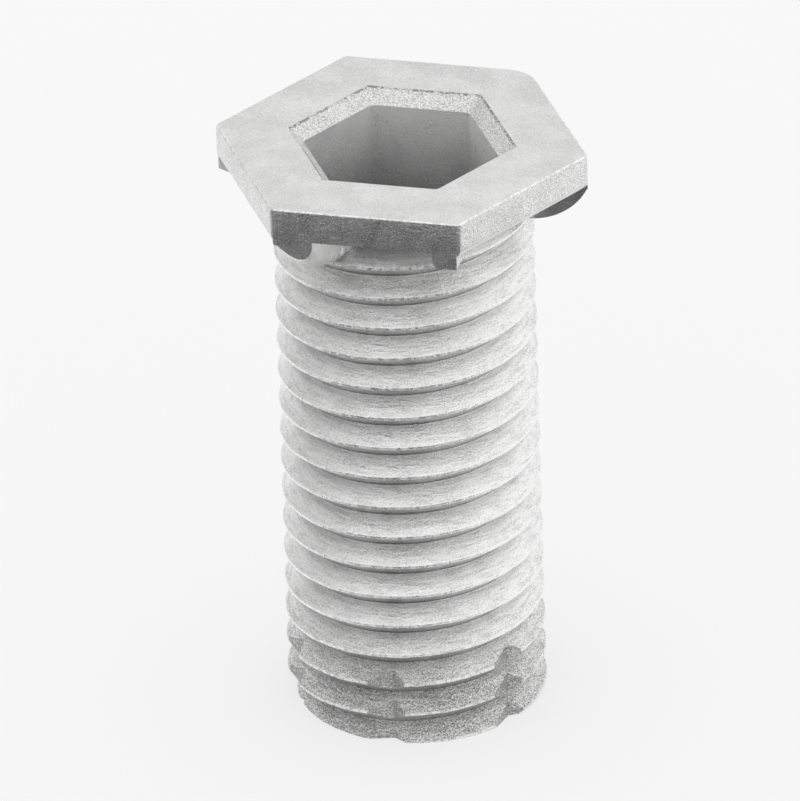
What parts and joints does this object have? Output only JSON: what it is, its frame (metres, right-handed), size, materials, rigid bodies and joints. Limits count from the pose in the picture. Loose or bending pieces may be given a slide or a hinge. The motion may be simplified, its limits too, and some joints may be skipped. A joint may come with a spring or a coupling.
{
  "type": "frame adjustment sleeve",
  "caption": "Die-cast sleeve with a hexagon flange, a coarse external wood thread with cutting notches at its tip, and a hexagon socket with a seat for a screw.",
  "frame": {"origin": "centre of the end face at the tip, which the sleeve stands on", "axes": "+Z along the axis from the tip to the flange, +X towards a corner of the flange"},
  "size_m": [0.0223, 0.0194, 0.0364],
  "materials": {
    "cast_zinc": "matt as-cast zinc"
  },
  "bodies": {
    "root": {"adjusting_sleeve": "cast_zinc"}
  },
  "joints": []
}
